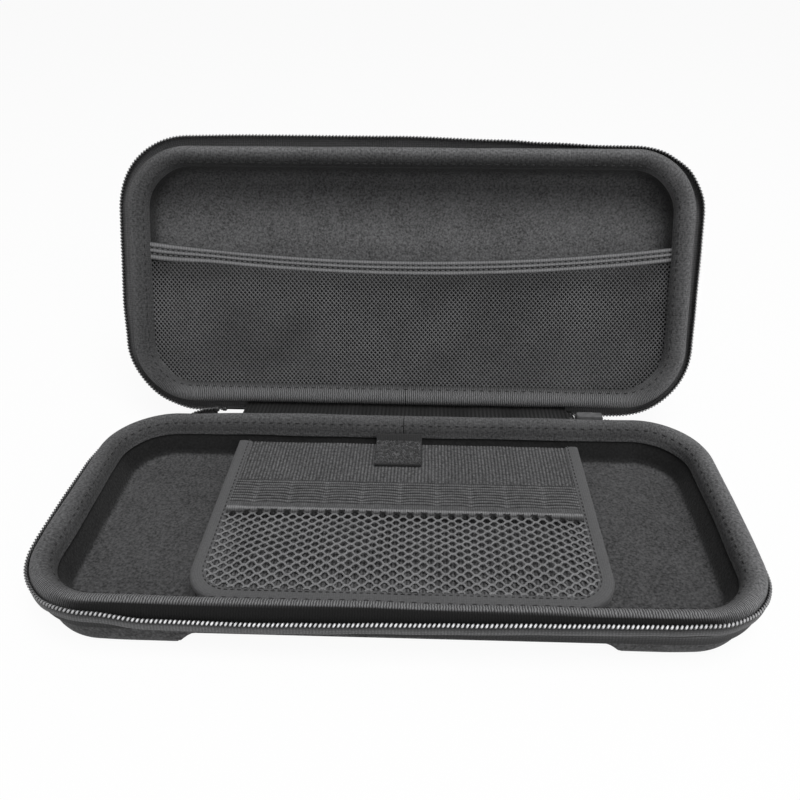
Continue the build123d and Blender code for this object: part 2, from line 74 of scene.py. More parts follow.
def walk(x, y, heading, radius, legs):
    """Straight legs and quarter turns from a start: length, whether it turns, place and heading."""
    runs = []
    for length, turns in legs:
        runs.append((length, turns, x, y, heading))
        if turns:
            x -= math.sin(heading) * radius
            y += math.cos(heading) * radius
            heading += math.pi / 2
            x += math.sin(heading) * radius
            y -= math.cos(heading) * radius
        else:
            x += math.cos(heading) * length
            y += math.sin(heading) * length
    return runs


def walk_at(runs, radius, s):
    """Point of a walked outline and the way inwards from it."""
    for length, turns, x, y, heading in runs:
        if s <= length:
            break
        s -= length
    if not turns:
        px, py = x + math.cos(heading) * s, y + math.sin(heading) * s
        return px, py, -math.sin(heading), math.cos(heading)
    turned = heading + s / radius
    cx, cy = x - math.sin(heading) * radius, y + math.cos(heading) * radius
    nx, ny = -math.sin(turned), math.cos(turned)
    return cx - nx * radius, cy - ny * radius, nx, ny


RIM_RUNS = walk(0.0, DEPTH / 2, math.pi, CORNER, (
    (STRAIGHT_X, False), (QUARTER, True), (STRAIGHT_Y, False), (QUARTER, True),
    (2 * STRAIGHT_X, False), (QUARTER, True), (STRAIGHT_Y, False), (QUARTER, True),
    (STRAIGHT_X, False),
))


def rim_at(s):
    """Point of the rim outline and the way inwards from it."""
    return walk_at(RIM_RUNS, CORNER, s % RIM_LENGTH)


def around(s, points):
    """Section points, each an inset and a depth, as x, y and depth at s along the rim."""
    x, y, nx, ny = rim_at(s)
    return [(x + nx * inset, y + ny * inset, depth) for inset, depth in points]


def on_rim(place, s, points):
    """Section points at s along the rim, put in their place in a shell."""
    return [place(*p) for p in around(s, points)]


def on_base(x, y, d):
    """Place of a point d below the base's parting plane. Its soft corners are drawn in a little."""
    front = 1.8 * eased((12 - y) / 62) if x > 0 else 1.0 * eased((-y - 18) / 40)
    drawn = eased((abs(x) - 92) / 38) * front
    sag = 1.0 * eased((-x - 70) / 40) * eased((y - 20) / 30) * eased((12 - d) / 8)
    return Vector((x - math.copysign(drawn, x), y + drawn, BASE_HEIGHT - d - sag))


def on_lid(x, y, d):
    """Place in the open lid of a point that lies d above the parting plane when it is shut."""
    dy, dz = y - HINGE_Y, BASE_HEIGHT - HINGE_Z + d
    c, s = math.cos(LID_OPEN), math.sin(LID_OPEN)
    return Vector((x, HINGE_Y + dy * c + dz * s, HINGE_Z - dy * s + dz * c))


def spread(first, last, step):
    """Even places from first to last, about step apart."""
    count = max(1, round(abs(last - first) / step))
    return [first + (last - first) * k / count for k in range(count + 1)]


def eased(t):
    """Soft step from 0 to 1."""
    t = min(1.0, max(0.0, t))
    return t * t * (3 - 2 * t)


def along(table, s):
    """Values of a table of (s, value, value) at s, eased between its rows."""
    k = min(max(bisect.bisect([row[0] for row in table], s), 1), len(table) - 1)
    low, high = table[k - 1], table[k]
    t = eased((s - low[0]) / (high[0] - low[0]))
    return [a + (b - a) * t for a, b in zip(low[1:], high[1:])]


def waver(s, length, seed):
    """Smooth uneven value from about -1 to 1 along a seam."""
    return 2 * noise.noise(Vector((s / length, seed, 0.5)))


def rounded(corners, steps=5):
    """Line through (x, y, radius) corners, each turned with its own radius."""
    out = []
    for k, (x, y, radius) in enumerate(corners):
        p = Vector((x, y))
        if not radius or k in (0, len(corners) - 1):
            out.append(p)
            continue
        a = (Vector(corners[k - 1][:2]) - p).normalized()
        b = (Vector(corners[k + 1][:2]) - p).normalized()
        half = a.angle(b) / 2
        centre = p + (a + b).normalized() * (radius / math.sin(half))
        start, end = (p + w * (radius / math.tan(half)) - centre for w in (a, b))
        turn = math.atan2(start.cross(end), start.dot(end))
        for m in range(steps + 1):
            angle = turn * m / steps
            c, s = math.cos(angle), math.sin(angle)
            out.append(centre + Vector((c * start.x - s * start.y, s * start.x + c * start.y)))
    return out


def filled(points, step):
    """The same line with points added where they lie further apart than step."""
    out = [points[0]]
    for a, b in zip(points, points[1:]):
        count = max(1, math.ceil((b - a).length / step))
        out += [a.lerp(b, m / count) for m in range(1, count + 1)]
    return out


def evenly(points, count):
    """The same line through count points, evenly far apart."""
    gone = [0.0]
    for a, b in zip(points, points[1:]):
        gone.append(gone[-1] + (b - a).length)
    out = []
    for m in range(count):
        at = gone[-1] * m / (count - 1)
        k = min(max(bisect.bisect(gone, at), 1), len(points) - 1)
        out.append(points[k - 1].lerp(points[k], (at - gone[k - 1]) / (gone[k] - gone[k - 1])))
    return out


def arc(cx, cy, radius, first, last, steps):
    """Points of an arc in a section, angles in degrees."""
    angles = [math.radians(a) for a in spread(first, last, abs(last - first) / steps)]
    return [Vector((cx + radius * math.cos(a), cy + radius * math.sin(a))) for a in angles]


def thick_line(points, thick):
    """Closed section of a strip round a middle line, with its two ends rounded a little."""
    left, right = [], []
    for k, p in enumerate(points):
        way = (points[min(k + 1, len(points) - 1)] - points[max(k - 1, 0)]).normalized()
        side = Vector((-way.y, way.x)) * (thick / 2)
        if k in (0, len(points) - 1):
            side *= 0.6
        left.append(p + side)
        right.append(p - side)
    return left + right[::-1]


def tinted_grid(bm, rows, tints):
    """Vertices at rows of points in mm, each with a tint for the material to read: painted shade
    below 1, painted highlight above.
    """
    layer = bm.verts.layers.float.new("tint")
    grid = [[bm.verts.new(p * MM) for p in row] for row in rows]
    for row, shades in zip(grid, tints):
        for vert, tint in zip(row, shades):
            vert[layer] = tint
    return grid


def skin(name, rows, run, tints=None):
    """Closed mesh through rows of section points, with a UV map in metres along and across."""
    bm = bmesh.new()
    uv = bm.loops.layers.uv.new("weave")
    count = len(rows[0])
    grid = tinted_grid(bm, rows, tints or [[1.0] * count] * len(rows))
    across = [0.0]
    for j in range(count):
        across.append(across[-1] + (rows[0][(j + 1) % count] - rows[0][j]).length)
    for i in range(len(rows) - 1):
        for j in range(count):
            m = (j + 1) % count
            face = bm.faces.new((grid[i][j], grid[i + 1][j], grid[i + 1][m], grid[i][m]))
            for loop, at in zip(face.loops, ((i, j), (i + 1, j), (i + 1, j + 1), (i, j + 1))):
                loop[uv].uv = (run[at[0]] * MM, across[at[1]] * MM)
    for end, place in ((grid[0], run[0]), (grid[-1], run[-1])):
        face = bm.faces.new(end)
        for loop, at in zip(face.loops, across):
            loop[uv].uv = (place * MM, at * MM)
    return closed(name, bm)


def placed(name, data):
    """New object in the scene."""
    obj = bpy.data.objects.new(name, data)
    bpy.context.scene.collection.objects.link(obj)
    return obj


def square(name, x0, y0, x1, y1, z):
    """Flat square between two corners in mm."""
    mesh = bpy.data.meshes.new(name)
    corners = [Vector((x, y, z)) * MM for x, y in ((x0, y0), (x1, y0), (x1, y1), (x0, y1))]
    mesh.from_pydata(corners, [], [(0, 1, 2, 3)])
    return placed(name, mesh)


def closed(name, bm):
    """Object of a finished closed mesh, its faces outwards and its soft edges smooth."""
    bmesh.ops.remove_doubles(bm, verts=bm.verts, dist=1e-6)
    bmesh.ops.recalc_face_normals(bm, faces=bm.faces)
    mesh = bpy.data.meshes.new(name)
    bm.to_mesh(mesh)
    bm.free()
    mesh.polygons.foreach_set("use_smooth", [True] * len(mesh.polygons))
    mesh.set_sharp_from_angle(angle=math.radians(50))
    return placed(name, mesh)


def dress(obj, material, slot, body, *nodes):
    """Gives a piece its material and the body it moves with, and hides the nodes it stands for. Its
    slot is not used.
    """
    obj.data.materials.clear()
    obj.data.materials.append(material)
    if body:
        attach(obj, body)
    if nodes:
        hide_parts(*nodes)
    return obj


# Materials
WAVE_SCALE = 314.16  # turns a pitch in mm into the scale of a wave texture
COOL = 1.02  # share of blue in the slightly cool greys


def join(tree, node, links):
    """Links outputs to a node's inputs, and sets the inputs that are given a number."""
    for key, value in links.items():
        if isinstance(value, bpy.types.NodeSocket):
            tree.links.new(value, node.inputs[key])
        else:
            node.inputs[key].default_value = value


def adder(tree, family):
    """Function that adds a node of a family to a tree and gives back one of its outputs."""

    def add(kind, links=None, out=0, **values):
        node = tree.nodes.new(kind if "Node" in kind else family + kind)
        for key, value in values.items():
            if hasattr(node, key):
                setattr(node, key, value)
            else:
                node.inputs[key.replace("_", " ")].default_value = value
        join(tree, node, links or {})
        return node.outputs[out] if len(node.outputs) else node

    return add


def maths(add, operation, *terms):
    """Adds a node that works out one value from outputs and numbers."""
    return add("ShaderNodeMath", dict(enumerate(terms)), operation=operation)


def finish_material(name, roughness, specular, sheen=0.0):
    """Fresh material with the values that are the same all over it."""
    material = bpy.data.materials.new(name)
    material.use_nodes = True
    tree = material.node_tree
    shader = tree.nodes["Principled BSDF"]
    join(tree, shader, {
        "Roughness": roughness, "Specular IOR Level": specular,
        "Sheen Weight": sheen, "Sheen Roughness": 0.5,
    })
    return material, shader, adder(tree, "ShaderNode")


def toned(add, tone, dark, light, edge, shadow):
    """Grey from dark to light, darkened to a share of itself, shadow, as painted shade where the
    mesh's tint is low, and lightened as painted highlight where the tint is above 1.
    """
    colour = add("ValToRGB", {"Fac": tone})
    ramp = colour.node.color_ramp.elements
    for stop, position, grey in ((0, edge, dark), (1, 1 - edge, light)):
        ramp[stop].position = position
        ramp[stop].color = (grey, grey, grey * COOL, 1)
    if shadow is None:
        return colour
    tint = add("Attribute", out="Fac", attribute_name="tint")
    deep = add("MapRange", {"Value": tint}, From_Max=1.5, To_Min=shadow, To_Max=1.5 - 0.5 * shadow)
    return add("Mix", {6: colour, 7: deep}, 2, data_type="RGBA", blend_type="MULTIPLY", Factor=1.0)


def woven(
    name, dark, light, pitch=None, coords="Object", cross=None, fuzz=0.45, bump=0.5, grain=1100.0,
    sway=1.0, shadow=None, sheen=0.1, worn=None,
):
    """Dark cloth: ribs at a pitch in mm, a crossing thread, loose fibres and worn patches."""
    material, shader, add = finish_material(name, 0.85, 0.2, sheen)
    place = {"Vector": add("TexCoord", out=coords)}

    def ribs(way, apart, **more):
        return add(
            "TexWave", place, "Fac", wave_type="BANDS", bands_direction=way,
            Scale=WAVE_SCALE / apart, Distortion=sway, Detail=1.0, **more,
        )

    fibres = add("TexNoise", place, "Fac", Scale=grain, Detail=2.0, Roughness=0.6)
    surface = fibres
    if pitch:
        weave, share = ribs("X", pitch, Detail_Scale=2.0), fuzz
        if cross:
            weave = maths(add, "MULTIPLY", weave, ribs("Y", cross))
        if worn:
            bare = add("Attribute", out="Fac", attribute_name="worn")
            share = add("MapRange", {"Value": bare}, To_Min=fuzz, To_Max=worn)
        surface = add("Mix", {"Factor": share, 2: weave, 3: fibres}, data_type="FLOAT")
    wear = add("TexNoise", place, "Fac", Scale=60.0, Detail=4.0)
    tone = add("Mix", {2: surface, 3: wear}, data_type="FLOAT", Factor=0.18)
    join(material.node_tree, shader, {
        "Base Color": toned(add, tone, dark, light, 0.32, shadow),
        "Normal": add("Bump", {"Height": surface}, Strength=bump, Distance=0.0003),
    })
    return material


def moulded(name, dark, light, roughness, metallic=0.0, shadow=None):
    """Moulded nylon or painted metal: slightly uneven tone and fine scuffs."""
    material, shader, add = finish_material(name, roughness, 0.5)
    place = add("TexCoord", out="Object")
    scuff = add("TexNoise", {"Vector": place}, "Fac", Scale=400.0, Detail=4.0)
    dull = add("MapRange", {"Value": scuff}, To_Min=roughness - 0.08, To_Max=roughness + 0.12)
    join(material.node_tree, shader, {
        "Metallic": metallic, "Base Color": toned(add, scuff, dark, light, 0.3, shadow),
        "Roughness": dull,
        "Normal": add("Bump", {"Height": scuff}, Strength=0.15, Distance=0.0001),
    })
    return material


knit = woven("knit_cover", 0.022, 0.105, grain=1000.0, bump=0.8, shadow=0.1)
grosgrain = woven(
    "grosgrain_binding", 0.05, 0.2, 0.95, "UV", fuzz=0.32, bump=0.9, sway=2.8, grain=900.0,
    shadow=0.02, worn=0.93, sheen=0.04,
)
tape_weave = woven("zip_tape_weave", 0.1, 0.2, 1.1, "UV", 0.8, 0.6, shadow=0.04)
# The hinge cloth is black, and its greys are set darker still as painted shade for the shadowed gap
# between the two rolls.
hinge_weave = woven("hinge_weave", 0.005, 0.025, 1.9, shadow=0.04)
panel_weave = woven("flap_rib_cloth", 0.04, 0.18, bump=0.7, grain=800.0, shadow=0.1)
edge_weave = woven("edge_tape_weave", 0.085, 0.13, 0.8, "UV", 0.8, 0.7, bump=0.3)
elastic_weave = woven("elastic_weave", 0.12, 0.27, 0.9, "UV", fuzz=0.65, shadow=0.04)
hem_weave = woven("hem_weave", 0.1, 0.25, 0.8, "UV", fuzz=0.6, shadow=0.1)
net_thread = woven("net_thread", 0.12, 0.27, 0.5, fuzz=0.7, grain=1500.0, shadow=0.05)
fine_thread = woven("fine_net_thread", 0.06, 0.175, 0.5, fuzz=0.7, grain=1500.0, shadow=0.1)
dark_thread = woven("dark_thread", 0.015, 0.04, 0.4, fuzz=0.5, grain=2000.0)
sewing_thread = woven("sewing_thread", 0.09, 0.18, 0.4, fuzz=0.5, grain=2000.0)
hook_back = woven("hook_back", 0.02, 0.06, 0.6, fuzz=0.8, grain=900.0)
hook_pile = woven("hook_pile", 0.02, 0.2, grain=600.0)
# The tab cloth is black, and its greys are set darker still as painted shade for the shadow of the
# rim roll over it.
tab_weave = woven("tab_weave", 0.014, 0.04, 0.8, "UV", 0.8, 0.6, bump=0.4)
# The nylon's light greys are a painted highlight, cut down by the tint to painted shade. The end
# stops carry no tint and stay at the darkest share.
nylon = moulded("zip_nylon", 0.5, 0.8, 0.34, shadow=0.05)
slider_paint = moulded("slider_paint", 0.22, 0.3, 0.35, metallic=0.6)


# Node trees for what repeats
def node_tree(name, *sizes):
    """Tree that takes a geometry and named sizes, with its inputs and its adding function."""
    tree = bpy.data.node_groups.new(name, "GeometryNodeTree")
    tree.interface.new_socket("Geometry", in_out="INPUT", socket_type="NodeSocketGeometry")
    for size in sizes:
        tree.interface.new_socket(size, in_out="INPUT", socket_type="NodeSocketFloat")
    tree.interface.new_socket("Geometry", in_out="OUTPUT", socket_type="NodeSocketGeometry")
    return tree, tree.nodes.new("NodeGroupInput").outputs, adder(tree, "GeometryNode")


def tube(add, line, radius, sides, **caps):
    """Round thread along a line."""
    ring = add("CurvePrimitiveCircle", {"Radius": radius}, Resolution=sides)
    return add("CurveToMesh", {"Curve": line, "Profile Curve": ring}, **caps)


def close_tree(tree, add, made):
    """Ends a tree in real, smooth geometry."""
    smooth = add("SetShadeSmooth", {"Geometry": made})
    add("NodeGroupOutput", {0: add("RealizeInstances", {"Geometry": smooth})})
    return tree


def coil_tree():
    """Coiled zip teeth: one wire wound round the line of the tape's edge, with a painted highlight
    on one side of each turn.
    """
    tree, given, add = node_tree("coiled_teeth", "Pitch", "Half width", "Half height", "Wire")

    def scaled(name, share):
        stored = add("InputNamedAttribute", data_type="FLOAT_VECTOR", Name=name)
        return add("ShaderNodeVectorMath", {0: stored, "Scale": share}, operation="SCALE")

    line = add("MeshToCurve", {"Mesh": given["Geometry"]})
    part_turn = maths(add, "DIVIDE", given["Pitch"], 10)
    fine = add("ResampleCurve", {"Curve": line, "Length": part_turn}, mode="LENGTH")
    turns = maths(add, "DIVIDE", add("SplineParameter", out="Length"), given["Pitch"])
    angle = maths(add, "MULTIPLY", turns, 2 * math.pi)
    out = maths(add, "MULTIPLY", maths(add, "COSINE", angle), given["Half width"])
    up = maths(add, "MULTIPLY", maths(add, "SINE", angle), given["Half height"])
    offset = add(
        "ShaderNodeVectorMath", {0: scaled("out_way", out), 1: scaled("up_way", up)},
        operation="ADD",
    )
    # Painted highlight: the upward side of each turn gets a high tint and the rest a low one,
    # scaled by the lit share stored along the rim.
    facing = maths(add, "COSINE", maths(add, "SUBTRACT", angle, 0.8))
    top = add("ShaderNodeMapRange", {"Value": facing}, From_Min=0.45, From_Max=0.9, To_Min=0.04)
    kept = add(
        "StoreNamedAttribute", {"Geometry": fine, "Value": scaled("lit", top)},
        data_type="FLOAT_VECTOR", Name="tint",
    )
    wound = add("SetPosition", {"Geometry": kept, "Offset": offset})
    return close_tree(tree, add, tube(add, wound, given["Wire"], 6, Fill_Caps=True))


def strand_tree():
    """Net threads: a round thread along every drawn edge."""
    tree, given, add = node_tree("net_threads", "Thread")
    line = add("MeshToCurve", {"Mesh": given["Geometry"]})
    return close_tree(tree, add, tube(add, line, given["Thread"], 5, Fill_Caps=True))


def stitch_tree():
    """Run of stitches: short plump threads in line along a seam."""
    tree, given, add = node_tree("stitch_run", "Pitch", "Length", "Thread")
    line = add("MeshToCurve", {"Mesh": given["Geometry"]})
    spaced = add("ResampleCurve", {"Curve": line, "Length": given["Pitch"]}, mode="LENGTH")
    half, thread = maths(add, "MULTIPLY", given["Length"], 0.5), given["Thread"]
    size = add("ShaderNodeCombineXYZ", {"X": half, "Y": thread, "Z": thread})
    ball = add("MeshUVSphere", Segments=6, Rings=4, Radius=1.0)
    turned = add("FunctionNodeAlignRotationToVector", {"Vector": add("InputTangent")}, axis="X")
    made = add("InstanceOnPoints", {
        "Points": spaced, "Instance": ball, "Rotation": turned, "Scale": size,
    })
    return close_tree(tree, add, made)


def pile_tree():
    """Pile of hook tape: small bent threads scattered and turned at random with a fixed seed."""
    tree, given, add = node_tree("hook_pile", "Density", "Height", "Thread")
    spots = add(
        "DistributePointsOnFaces", {"Mesh": given["Geometry"], "Density": given["Density"]}, Seed=7
    )
    spin = add(
        "FunctionNodeRandomValue", data_type="FLOAT_VECTOR", Seed=11,
        Min=(-0.5, -0.5, 0), Max=(0.5, 0.5, 6.283),
    )
    bend = add("CurvePrimitiveCircle", {"Radius": given["Height"]}, Resolution=8)
    stood = add("Transform", {"Geometry": bend}, Rotation=(math.pi / 2, 0, 0))
    loop = tube(add, stood, given["Thread"], 3)
    made = add("InstanceOnPoints", {"Points": spots, "Instance": loop, "Rotation": spin})
    return close_tree(tree, add, made)


COIL_TREE, STRAND_TREE = coil_tree(), strand_tree()
STITCH_TREE, PILE_TREE = stitch_tree(), pile_tree()


def grow(obj, tree, **sizes):
    """Turns an object into what a tree makes of it, as a plain mesh."""
    change = obj.modifiers.new("grow", "NODES")
    change.node_group = tree
    for item in tree.interface.items_tree:
        key = item.name.replace(" ", "_").lower()
        if item.in_out == "INPUT" and key in sizes:
            change[item.identifier] = sizes[key]
    seen = obj.evaluated_get(bpy.context.evaluated_depsgraph_get())
    mesh = bpy.data.meshes.new_from_object(seen)
    obj.modifiers.remove(change)
    obj.data = mesh
    return obj


def lines(name, runs, ways=None):
    """Object of bare edges through runs of points in mm, with ways stored on the points."""
    mesh = bpy.data.meshes.new(name)
    points, edges = [], []
    for run in runs:
        first = len(points)
        points += [p * MM for p in run]
        edges += [(k, k + 1) for k in range(first, len(points) - 1)]
    mesh.from_pydata(points, edges, [])
    for way, values in (ways or {}).items():
        layer = mesh.attributes.new(way, "FLOAT_VECTOR", "POINT")
        layer.data.foreach_set("vector", [c for v in values for c in v])
    return placed(name, mesh)


def stitches(name, seams, material, slot, body, **sizes):
    """Run of stitches along each seam."""
    return dress(grow(lines(name, seams), STITCH_TREE, **sizes), material, slot, body)


# Moulded shells: the wall's section carried round the rim and on to the middle line
def shell(name, place, height, floor, cavity, drafts, rounds, inner_shape, outer_shape, inner_tint):
    """Closed moulded shell. The two shapes lift the points of its inner and outer faces."""
    bottom = height - floor
    inner = filled(rounded([
        (FLOOR_INSET, bottom, 0), (WALL_INSET + cavity, bottom, rounds[0]),
        (WALL_INSET, 8.1, 0), (WALL_INSET, ROLL_IN_DEPTH, 0),
    ], 7), 2.2)
    roll = arc(ROLL_INSET, ROLL_IN_DEPTH, 4.1, 0, -90, 6)[1:]
    roll += arc(ROLL_INSET, ROLL_OUT_DEPTH, 2.6, -90, -180, 5)[1:]
    outer = filled(rounded([
        (FLANGE_INSET, ROLL_OUT_DEPTH, 0), (FLANGE_INSET, FLANGE_DEPTH, 0), (6.5, 14, 2),
        (6.5 + drafts, height, rounds[1]), (FLOOR_INSET, height, 0),
    ], 7), 2.2)[1:]
    fills = [k / 12 for k in range(1, 13)]
    rows, shades = [], []
    for s in spread(0, RIM_LENGTH, RIM_STEP)[:-1]:
        edge_x, edge_y, _ = around(s, [(FLOOR_INSET, bottom)])[0]
        spine_x = min(SPINE_HALF, max(-SPINE_HALF, edge_x))
        flat = [(edge_x + (spine_x - edge_x) * t, edge_y * (1 - t)) for t in fills]
        inside = [(*p, bottom) for p in flat[::-1]] + around(s, inner)
        outside = around(s, outer) + [(*p, height) for p in flat]
        rows.append(
            [place(x, y, inner_shape(x, y, d)) for x, y, d in inside] + on_rim(place, s, roll)
            + [place(x, y, outer_shape(x, y, d)) for x, y, d in outside]
        )
        # Painted shade: the lining's tint darkens its walls, and the shell's points inside the roll
        # are painted dark. The outer faces stay plain.
        lining = [inner_tint(x, y, bottom - d) for x, y, d in inside]
        shades.append(lining + [0.2] * len(roll) + [1.0] * len(outside))
    return skin_shell(name, rows, shades)


def skin_shell(name, rows, shades):
    """Closed mesh through the shell's rows, which meet along the middle line."""
    bm = bmesh.new()
    grid = tinted_grid(bm, rows, shades)
    for i, row in enumerate(grid):
        after = grid[(i + 1) % len(grid)]
        for j in range(len(row) - 1):
            bm.faces.new((row[j], after[j], after[j + 1], row[j + 1]))
    return closed(name, bm)


def raised(low, high):
    """The higher of two heights, with a soft crease between them."""
    return 0.5 * (low + high + math.sqrt((low - high) ** 2 + 0.5))


def platform_shape(x, y, d):
    """Base's inner face: the middle stands up as a platform between the two wells."""
    top = PLATFORM_TOP - (PLATFORM_TOP - BASE_FLOOR) * eased((abs(x) - 70.3) / 9.2)
    return min(d, BASE_HEIGHT - raised(BASE_HEIGHT - d, top) + 0.02)


def arch_shape(x, y, d):
    """Base's outer face: arched up between its feet, the right one worn round at the front."""
    arch = (7.8 + 0.006 * x) * (1 - eased((abs(x) - (73 if x > 0 else 69)) / 10.5))
    worn = 2.0 * eased((x - 30) / 45) * eased((-y - 38) / 14) * eased((d - 15) / 7)
    return BASE_HEIGHT - max(BASE_HEIGHT - d + worn, arch)


def plain_shape(x, y, d):
    """Lid's inner face as moulded."""
    return d


def crown_shape(x, y, d):
    """Lid's outer face: a very slight crown over its flat top."""
    if d < LID_HEIGHT - 0.01:
        return d
    return d + 0.7 * (1 - (x / 120) ** 2) * max(0, 1 - (y / 46) ** 2)


def well_tint(x, y, up):
    """Tint of the base's lining: its walls lie in shade, most of all on the hinge side."""
    return 1.0 - (0.86 + 0.1 * eased((y - 20) / 20)) * eased((up - 0.3) / 2.2)


def hem_line(x):
    """Upper edge of the lid pocket's hem, sagging between its ends."""
    return HEM_END + HEM_SAG * (1 - (x / (WIDTH / 2)) ** 2)


def hem_width(x):
    """Width of the hem, fuller where it runs into the left end."""
    return HEM_WIDTH - 0.3 + 1.8 * eased((-x - 92) / 32)


def lining_tint(x, y, up):
    """Tint of the lid's lining: painted shade in its walls, along its front and behind the net, and
    painted light further back from its front.
    """
    open_part = (0.9 + 0.6 * eased((y + 44) / 26)) * (1 - 0.75 * eased(up / 7))
    return open_part * (1 - 0.68 * eased((y - hem_line(x) - 2) / 4))


for body, *form in (
    (
        "base", on_base, BASE_HEIGHT, BASE_FLOOR, 4.5, 0.5, (3, 4),
        platform_shape, arch_shape, well_tint,
    ),
    ("lid", on_lid, LID_HEIGHT, LID_ROOF, 2.0, 2.2, (8, 7), plain_shape, crown_shape, lining_tint),
):
    cover = shell(body + "_moulded_cover", *form)
    dress(cover, knit, "shell_cover", body, body + "_shell")


# Padded rim rolls with their binding tape, butted at the middle of the hinge side.
# The tints, painted shade and painted highlight, run across a roll: along the sides and rear, then
# the front's crest and inner slope
ROLL_TINTS = {
    "base": ((
        0, 0.4, 0.85, 0.95, 0.95, 0.93, 0.9, 0.86, 0.78, 0.7, 0.63, 0.58, 0.55, 0.53, 0.53, 0.56,
        0.62, 0.8,
    ), (
        0, 0.4, 0.8, 0.92, 0.94, 0.92, 0.88, 0.84, 0.74, 0.64, 0.54, 0.47, 0.43, 0.41, 0.41, 0.44,
        0.5, 0.7,
    )),
    "lid": ((
        0, 0.3, 0.6, 0.66, 0.66, 0.64, 0.6, 0.52, 0.46, 0.44, 0.44, 0.46, 0.5, 0.54, 0.6, 0.68,
        0.74, 0.8,
    ), (0, 0.1, 0.5, 0.9, 1, 1, 1, 1, 1, 0.95, 0.9, 0.8, 0.7, 0.6, 0.55, 0.5, 0.45, 0.4)),
}
ROLL_FRONT = {
    "base": (1.1, 1.2, 1.2, 1.15, 1.05, 0.9, 0.8, 0.75, 0.7, 0.65, 0.6),
    "lid": (0.56, 0.42, 0.32, 0.26, 0.22, 0.2, 0.2, 0.2, 0.22, 0.24, 0.25),
}
LEAST_DEPTH = 0.08  # keeps the two rolls apart when the lid is shut


def roll_tints(body, s, x):
    """Painted shade and highlight across a roll at s: its outer flank, crest and inner slope,
    different on each side.
    """
    ahead = eased((130 - abs(s - RIM_LENGTH / 2)) / 25)
    behind = eased((130 - min(s, RIM_LENGTH - s)) / 25)
    turns = [180 + 90 * k / 7 for k in range(7)]
    if body == "base":
        brink = 263 - 14 * (x / 100) ** 2
        flank = [eased((a - brink + 7) / 14) for a in turns]
    else:
        flank = [(0.95 - 0.3 * eased((a - 230) / 40)) * eased((a - 184) / 24) for a in turns]
    front = (*flank, *ROLL_FRONT[body])
    sides, rear = ROLL_TINTS[body]
    # Painted light: the roll is lighter towards the right than towards the left.
    lean = 1.1 + 0.14 * max(-1.0, min(1.0, x / 90))
    beside = lean * (1 - ahead - behind)
    return [f * ahead + r * behind + m * beside for f, m, r in zip(front, sides, rear)]


def rim_roll(body, place, seed):
    """Padded roll round a rim, a little uneven, with its binding sewn near the inner edge."""
    lip = ((11.8, 6.8), (11.8, 8.0), (11.65, 8.5), (11.1, 8.7), (10.6, 8.4), (10.45, 7.6))
    section = [Vector((2.9, 6.4)), Vector((2.9, 5.2))]
    section += arc(ROLL_INSET, ROLL_OUT_DEPTH, 3.7, 180, 270, 7)
    section += arc(ROLL_INSET, ROLL_IN_DEPTH, 5.2, 270, 360, 9)[1:]
    section += [Vector(p) for p in lip]
    section += arc(ROLL_INSET, ROLL_IN_DEPTH, 3.9, 360, 270, 4)
    section += arc(ROLL_INSET, ROLL_OUT_DEPTH, 2.4, 270, 180, 4)[1:]
    section.append(Vector((4.1, 6.4)))
    sewn = Vector((10.75, 2.1))
    stations = spread(0.2, RIM_LENGTH - 0.2, RIM_STEP)
    rows, shades, seam = [], [], []
    for s in stations:
        swell = 1 + 0.03 * waver(s, 23, seed)
        lift = 0.18 * waver(s, 41, seed + 3)
        *row, stitch = on_rim(place, s, [
            (
                ROLL_INSET + (p.x - ROLL_INSET) * swell,
                max(LEAST_DEPTH, 5 + (p.y - 5) * swell - lift),
            ) for p in (*section, sewn)
        ])
        rows.append(row)
        seam.append(stitch)
        # Painted highlight and painted shadow line along the roll's inner lip, and painted shade on
        # its underside and inside faces.
        across = [0, 0, *roll_tints(body, s, rim_at(s)[0])]
        under = [0.3] * (len(section) - len(across) - 2)
        shades.append(across + [across[-1] * 1.3, across[-1] * 0.7] + under)
    roll = skin(body + "_rim_roll", rows, stations, shades)
    bare = roll.data.attributes.new("worn", "FLOAT", "POINT")
    for vert, value in zip(roll.data.vertices, bare.data):
        reach = vert.co.y + 0.052 if body == "base" else vert.co.z - 0.022
        value.value = eased(reach / 0.008)
    dress(roll, grosgrain, "rim_binding", body, body + "_rim_binding")
    stitches(
        body + "_binding_stitches", [seam], dark_thread, "rim_binding", body,
        pitch=0.0041, length=0.0021, thread=0.00033,
    )


rim_roll("base", on_base, 1.0)
rim_roll("lid", on_lid, 5.0)

# Zip tapes and coiled teeth: inset and depth of the tape's edge along the rim
BASE_ZIP = (
    (89.6, 0.85, 0.9), (95, 0.85, 1.2), (99, 0.9, 2.6), (104, 1.0, 4.6), (112, 1.2, 6.0),
    (123, 1.5, 6.4), (140, 1.7, 6.2), (154, 1.3, 5.4), (166, 0.9, 4.8), (190, 0.75, 4.4),
    (212, 0.95, 4.2), (228, 1.6, 4.2), (245, 2.05, 4.2), (264, 1.95, 2.3), (274, 1.85, 2.4),
    (294, 1.4, 4.6), (329, 1.2, 4.8), (350, 1.2, 4.1), (379, 1.2, 2.9), (400, 1.2, 2.2),
    (428, 1.4, 1.4), (450, 1.6, 1.0), (467, 1.8, 0.8), (480, 2.1, 0.7), (492, 2.1, 1.2),
    (508, 2.1, 3.0), (520, 2.1, 4.8), (532, 2.1, 6.0), (546, 2.1, 6.6), (620, 2.0, 6.6),
    (645, 1.4, 6.2), (657, 0.85, 4.0), (662, 0.85, 3.8), (674, 0.85, 3.8),
)
